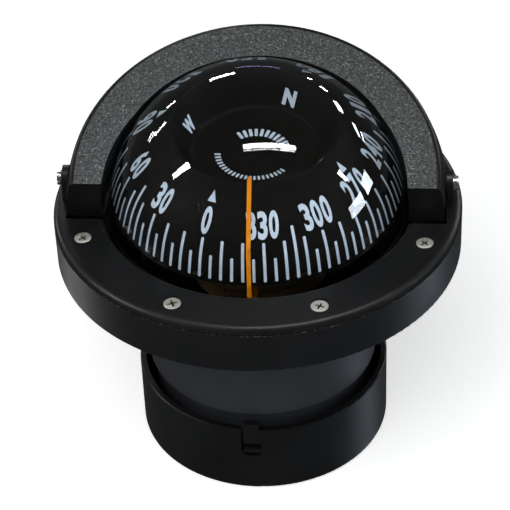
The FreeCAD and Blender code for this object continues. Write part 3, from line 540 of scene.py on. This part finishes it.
class CardFace:
    """The outside of the card as (distance up from the rim, azimuth), read from its CAD mesh."""

    # rays fall on one radius of the card, at this many points and this far round from the heading
    PROFILE_STEPS = 700
    PROFILE_TURN = 7.0

    def __init__(self):
        card = nodes["card_dial"]
        tree = BVHTree.FromPolygons([v.co for v in card.data.vertices],
                                    [p.vertices for p in card.data.polygons])
        low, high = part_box("card_dial")
        rim = high.x
        above = high.z + 10.0 * MM
        direction = math.radians(HEADING_AZIMUTH + self.PROFILE_TURN)
        spots = [(rim, low.z)]
        for i in range(1, self.PROFILE_STEPS):
            radius = (rim - 0.02 * MM) * (1.0 - (i / self.PROFILE_STEPS))
            hit = tree.ray_cast(Vector((radius * math.sin(direction), -radius * math.cos(direction), above)),
                                Vector((0.0, 0.0, -1.0)))[0]
            spots.append((radius, hit.z))
        self.spots = spots
        self.along = [0.0]
        for (r0, z0), (r1, z1) in zip(spots, spots[1:]):
            self.along.append(self.along[-1] + math.hypot(r1 - r0, z1 - z0))

    def slant_at(self, radius):
        """How far up from the rim the card has this radius."""
        for (r0, _), (r1, _), a0, a1 in zip(self.spots, self.spots[1:], self.along, self.along[1:]):
            if r1 <= radius <= r0:
                return a0 + (a1 - a0) * (r0 - radius) / max(1e-9, r0 - r1)
        raise ValueError("the card has no such radius")

    def at(self, slant):
        """(radius, height, outward normal) at a distance up from the rim."""
        low, high = 0, len(self.along) - 2
        while low < high:
            middle = (low + high + 1) // 2
            if self.along[middle] <= slant:
                low = middle
            else:
                high = middle - 1
        (r0, z0), (r1, z1) = self.spots[low], self.spots[low + 1]
        step = self.along[low + 1] - self.along[low]
        share = (slant - self.along[low]) / step
        wide = (self.spots[max(0, low - 4)], self.spots[min(len(self.spots) - 1, low + 5)])
        dr, dz = wide[1][0] - wide[0][0], wide[1][1] - wide[0][1]
        size = math.hypot(dr, dz)
        return r0 + (r1 - r0) * share, z0 + (z1 - z0) * share, (dz / size, -dr / size)

    def place(self, azimuth, across, slant, lift):
        """The point a distance across from an azimuth (degrees) and up from the rim, lifted off the card."""
        radius, height, normal = self.at(slant)
        angle = math.radians(azimuth) + across / radius
        radius += normal[0] * lift
        return Vector((radius * math.sin(angle), -radius * math.cos(angle), height + normal[1] * lift))


def lay_on_card(face, bm, azimuth, middle, turn=1.0):
    """Wrap flat ink, drawn about its own centre, on to the card; turn -1 sets it upside down."""
    for vert in bm.verts:
        x, y, z = vert.co
        lift = INK_LIFT * MM if z > 0 else -INK_SINK * MM
        vert.co = face.place(azimuth, turn * x, middle + turn * y, lift)


def sliced(bm, pitch):
    """Cut flat ink at an even pitch both ways, so that it can follow a curve."""
    for axis in (0, 1):
        low = min(v.co[axis] for v in bm.verts)
        high = max(v.co[axis] for v in bm.verts)
        count = int((high - low) / pitch)
        for i in range(1, count + 1):
            place = [0.0, 0.0, 0.0]
            place[axis] = low + (high - low) * i / (count + 1)
            normal = [0.0, 0.0, 0.0]
            normal[axis] = 1.0
            geometry = bm.verts[:] + bm.edges[:] + bm.faces[:]
            bmesh.ops.bisect_plane(bm, geom=geometry, plane_co=place, plane_no=normal)


def bar_ink(width, height):
    """A flat bar with round ends."""
    bm = bmesh.new()
    corner = 0.32 * width
    points = []
    for cx, cy, start in ((1, 1, 0), (-1, 1, 90), (-1, -1, 180), (1, -1, 270)):
        for k in range(5):
            angle = math.radians(start + 90.0 * k / 4)
            points.append((cx * (width / 2 - corner) + corner * math.cos(angle),
                           cy * (height / 2 - corner) + corner * math.sin(angle)))
    return extruded(bm, points)


def extruded(bm, points):
    """A thin closed slab from a flat outline."""
    top = [bm.verts.new((x, y, SLAB_HALF)) for x, y in points]
    low = [bm.verts.new((x, y, -SLAB_HALF)) for x, y in points]
    bm.faces.new(top)
    bm.faces.new(low[::-1])
    join_loops(bm, low, top)
    return bm


def text_ink(text, height, width, gap, bold):
    """Flat letters of one height, each squeezed to its own width, side by side about the centre."""
    whole = bmesh.new()
    total = len(text) * width + (len(text) - 1) * gap
    for index, letter in enumerate(text):
        curve = bpy.data.curves.new("letter", "FONT")
        curve.body = letter
        curve.size = 1.0
        curve.offset = bold
        curve.extrude = 0.05
        curve.resolution_u = 4
        shown = bpy.data.objects.new("letter", curve)
        bpy.context.scene.collection.objects.link(shown)
        bpy.context.view_layer.update()
        mesh = bpy.data.meshes.new_from_object(shown.evaluated_get(bpy.context.evaluated_depsgraph_get()))
        bpy.data.objects.remove(shown)
        bpy.data.curves.remove(curve)
        xs = [v.co.x for v in mesh.vertices]
        ys = [v.co.y for v in mesh.vertices]
        wide = width * ONE_SHARE if letter == "1" else width
        centre = -total / 2 + index * (width + gap) + width / 2
        for v in mesh.vertices:
            v.co = ((v.co.x - (max(xs) + min(xs)) / 2) / (max(xs) - min(xs)) * wide + centre,
                    (v.co.y - (max(ys) + min(ys)) / 2) / (max(ys) - min(ys)) * height,
                    math.copysign(SLAB_HALF, v.co.z))
        whole.from_mesh(mesh)
        bpy.data.meshes.remove(mesh)
    bmesh.ops.remove_doubles(whole, verts=whole.verts, dist=1e-7)
    return whole


def gather(name, parts):
    """One mesh from several bmesh parts."""
    mesh = bpy.data.meshes.new(name)
    whole = bmesh.new()
    for part in parts:
        copy = mesh_from("part", part)
        whole.from_mesh(copy)
        bpy.data.meshes.remove(copy)
    whole.to_mesh(mesh)
    whole.free()
    return mesh


def make_card_marks():
    """Ticks every five degrees, numerals every thirty, pointers, letters and two arcs of dashes."""
    face = CardFace()
    ticks = []
    for bearing in range(0, 360, 5):
        kind = 45 if bearing % 45 == 0 and bearing % 90 else (10 if bearing % 10 == 0 else 5)
        foot, top = TICK_FOOT * MM, TICK_TOPS[kind] * MM
        bm = bar_ink(TICK_WIDTH * MM, top - foot)
        sliced(bm, TICK_PITCH * MM)
        lay_on_card(face, bm, HEADING_AZIMUTH - bearing, (foot + top) / 2)
        ticks.append(bm)
    piece_from("card_ticks", gather("card_ticks", ticks), INK, "card", smooth=False)

    numerals = []
    for bearing in range(0, 360, 30):
        bm = text_ink(str(bearing), NUMERAL_HEIGHT * MM, DIGIT_WIDTH * MM * DIGIT_SHARE,
                      DIGIT_WIDTH * MM * (1.0 - DIGIT_SHARE), NUMERAL_BOLD)
        sliced(bm, TEXT_PITCH * MM)
        lay_on_card(face, bm, HEADING_AZIMUTH - bearing, NUMERAL_MIDDLE * MM)
        numerals.append(bm)
    piece_from("card_numerals", gather("card_numerals", numerals), INK, "card", smooth=False)

    letters = []
    foot, top = POINTER_FOOT * MM, POINTER_TOP * MM
    for bearing in range(0, 360, 90):
        bm = bmesh.new()
        half = POINTER_WIDTH * MM / 2
        extruded(bm, [(-half, -(top - foot) / 2), (half, -(top - foot) / 2), (0.0, (top - foot) / 2)])
        sliced(bm, TEXT_PITCH * MM)
        lay_on_card(face, bm, HEADING_AZIMUTH - bearing, (foot + top) / 2)
        letters.append(bm)
    letter_slant = face.slant_at(LETTER_RADIUS * MM)
    for index, letter in enumerate("NESW"):
        bm = text_ink(letter, LETTER_HEIGHT * MM, LETTER_WIDTHS[letter] * MM, 0.0, LETTER_BOLD)
        sliced(bm, TEXT_PITCH * MM)
        lay_on_card(face, bm, HEADING_AZIMUTH + 180.0 - 90.0 * index, letter_slant, turn=-1.0)
        letters.append(bm)
    for start, end, count, radius, width, length in RING_ARCS:
        slant = face.slant_at(radius * MM)
        for k in range(count):
            bm = bar_ink(width * MM, length * MM)
            sliced(bm, DASH_PITCH * MM)
            lay_on_card(face, bm, start + (end - start) * k / (count - 1), slant)
            letters.append(bm)
    piece_from("card_letters", gather("card_letters", letters), INK, "card", smooth=False)


# ---------------------------------------------------------------- scene

def make_floor():
    """Plain pale floor under the foot."""
    mesh = bpy.data.meshes.new("floor")
    half = 20.0
    corners = [(-half, -half, 0), (half, -half, 0), (half, half, 0), (-half, half, 0)]
    mesh.from_pydata(corners, [], [(0, 1, 2, 3)])
    material, _, shader = new_material("floor_pale")
    shader.inputs["Base Color"].default_value = (0.88, 0.88, 0.88, 1.0)
    shader.inputs["Roughness"].default_value = 0.9
    shader.inputs["Emission Color"].default_value = (1.0, 1.0, 1.0, 1.0)
    shader.inputs["Emission Strength"].default_value = 0.62
    mesh.materials.append(material)
    floor = bpy.data.objects.new("floor", mesh)
    bpy.context.scene.collection.objects.link(floor)
    floor.visible_glossy = False
    floor.visible_shadow = False


def make_backdrop():
    """A pale wall all round, which only the camera sees: it lights nothing and shows in no gloss."""
    radius, height = 7.0, 9.0
    outer = radius + 0.1
    mesh = ring_mesh("backdrop", [(radius, 0.0), (radius, height), (outer, height), (outer, 0.0)], 96)
    material, _, shader = new_material("backdrop_pale")
    shader.inputs["Base Color"].default_value = (0.0, 0.0, 0.0, 1.0)
    shader.inputs["Specular IOR Level"].default_value = 0.0
    shader.inputs["Emission Color"].default_value = (1.0, 1.0, 1.0, 1.0)
    shader.inputs["Emission Strength"].default_value = 1.0
    mesh.materials.append(material)
    wall = bpy.data.objects.new("backdrop", mesh)
    bpy.context.scene.collection.objects.link(wall)
    wall.visible_diffuse = False
    wall.visible_glossy = False
    wall.visible_transmission = False
    wall.visible_shadow = False


def area_light(name, length, width, radiance, tint):
    """A rectangular light of a given brightness."""
    data = bpy.data.lights.new(name, "AREA")
    data.color = tint
    data.shape = "RECTANGLE"
    data.size = length
    data.size_y = width
    data.energy = radiance * math.pi * length * width
    lamp = bpy.data.objects.new(name, data)
    bpy.context.scene.collection.objects.link(lamp)
    return lamp


def panel_light(name, centre, aim, length, width, radiance, tint=(1.0, 1.0, 1.0)):
    """A rectangular light that faces a point."""
    lamp = area_light(name, length, width, radiance, tint)
    lamp.location = centre
    lamp.rotation_mode = "QUATERNION"
    lamp.rotation_quaternion = (Vector(aim) - Vector(centre)).to_track_quat("-Z", "Y")
    return lamp


def tube_light(name, start, end, width, radiance):
    """A long ceiling fitting between two points, facing down at the object."""
    start, end = Vector(start), Vector(end)
    middle = (start + end) / 2
    lamp = area_light(name, (end - start).length, width, radiance, (1.0, 1.0, 1.0))
    along = (end - start).normalized()
    away = (middle - Vector((0.0, 0.0, DOME_CENTRE))).normalized()
    across = away.cross(along).normalized()
    away = along.cross(across).normalized()
    lamp.matrix_world = Matrix.Translation(middle) @ Matrix((along, across, away)).transposed().to_4x4()
    return lamp


def light_only(lamp, pieces):
    """Let a light fall on some pieces alone."""
    lit = bpy.data.collections.new("lit_by_" + lamp.name)
    for piece in pieces:
        lit.objects.link(piece)
    lamp.light_linking.receiver_collection = lit


def make_lights():
    """Soft light that the gloss doesn't see, and fittings, panes and side lights that only the gloss sees."""
    world = bpy.data.worlds.new("studio")
    world.use_nodes = True
    back = world.node_tree.nodes["Background"]
    back.inputs["Color"].default_value = (0.93, 0.96, 1.0, 1.0)
    back.inputs["Strength"].default_value = 0.07
    bpy.context.scene.world = world
    shown = []
    for index, (start, end, width, radiance) in enumerate(FITTINGS):
        shown.append(tube_light("fitting_%d" % index, (*start, CEILING), (*end, CEILING), width, radiance))
    panes = [
        panel_light("pane_upper", (2.5, 0.62, 0.33), (0, 0, 0.1), 0.45, 0.42, 22.0, (0.85, 0.93, 1.0)),
        panel_light("pane_lower", (2.5, -0.16, 0.24), (0, 0, 0.1), 0.70, 0.36, 22.0, (0.85, 0.93, 1.0)),
    ]
    for lamp in panes:
        light_only(lamp, [bpy.data.objects["liquid_dome"]])
    sides = [
        panel_light("metal_left", (-2.4, -0.6, 0.7), (0, 0, 0.05), 1.3, 0.8, 1.6),
        panel_light("metal_right", (2.4, -0.6, 0.7), (0, 0, 0.05), 1.3, 0.8, 1.6),
    ]
    for lamp in sides:
        light_only(lamp, [nodes[name] for name in ("visor_screws", "ns_spindle", "ew_spindle")])
    shown += panes + sides
    shown.append(panel_light("far_sign", (-0.5, 8.0, 1.15), (0, 0, 0.1), 1.8, 0.12, 3.5, (0.55, 0.5, 1.0)))
    rims = [
        panel_light("side_left", (-1.7, 1.0, -1.45), (0, 0, 0.05), 0.8, 1.2, 1.4),
        panel_light("side_right", (1.85, 0.7, -1.45), (0, 0, 0.05), 0.8, 1.2, 1.5, (0.75, 0.87, 1.0)),
    ]
    for lamp, names in zip(rims, (("flange_ring",), ("flange_ring", "body_tube", "clamp_sleeve"))):
        light_only(lamp, [nodes[name] for name in names])
    for lamp in shown + rims:
        lamp.visible_diffuse = False
    soft = [
        panel_light("key", (-0.35, -1.2, 1.8), (0, 0, 0.08), 1.6, 1.2, 4.4),
        panel_light("top", (0.2, 0.1, 2.4), (0, 0, 0.08), 2.4, 1.8, 0.15),
        panel_light("fill_right", (2.2, -0.5, 0.5), (0, 0, 0.05), 0.9, 0.9, 3.4, (0.75, 0.87, 1.0)),
        panel_light("fill_left", (-2.2, -0.5, 0.5), (0, 0, 0.05), 0.9, 0.9, 1.4),
    ]
    for lamp in soft:
        lamp.visible_glossy = False


def make_camera():
    """Camera at the chosen view, with its own roll and a small shift."""
    data = bpy.data.cameras.new("camera")
    data.lens = CAMERA_LENS
    data.shift_x, data.shift_y = CAMERA_SHIFT
    data.clip_end = 100.0
    camera = bpy.data.objects.new("camera", data)
    bpy.context.scene.collection.objects.link(camera)
    forward = (CAMERA_AIM - CAMERA_AT).normalized()
    side = forward.cross(Vector((0, 0, 1))).normalized()
    above = side.cross(forward)
    right = math.cos(CAMERA_ROLL) * side + math.sin(CAMERA_ROLL) * above
    up = right.cross(forward)
    camera.matrix_world = Matrix.Translation(CAMERA_AT) @ Matrix((right, up, -forward)).transposed().to_4x4()
    bpy.context.scene.camera = camera


finish_nodes()
make_dome()
make_liner()
make_bezel_screws()
make_card_marks()
make_floor()
make_backdrop()
make_lights()
make_camera()
bpy.context.scene.view_settings.view_transform = "Standard"
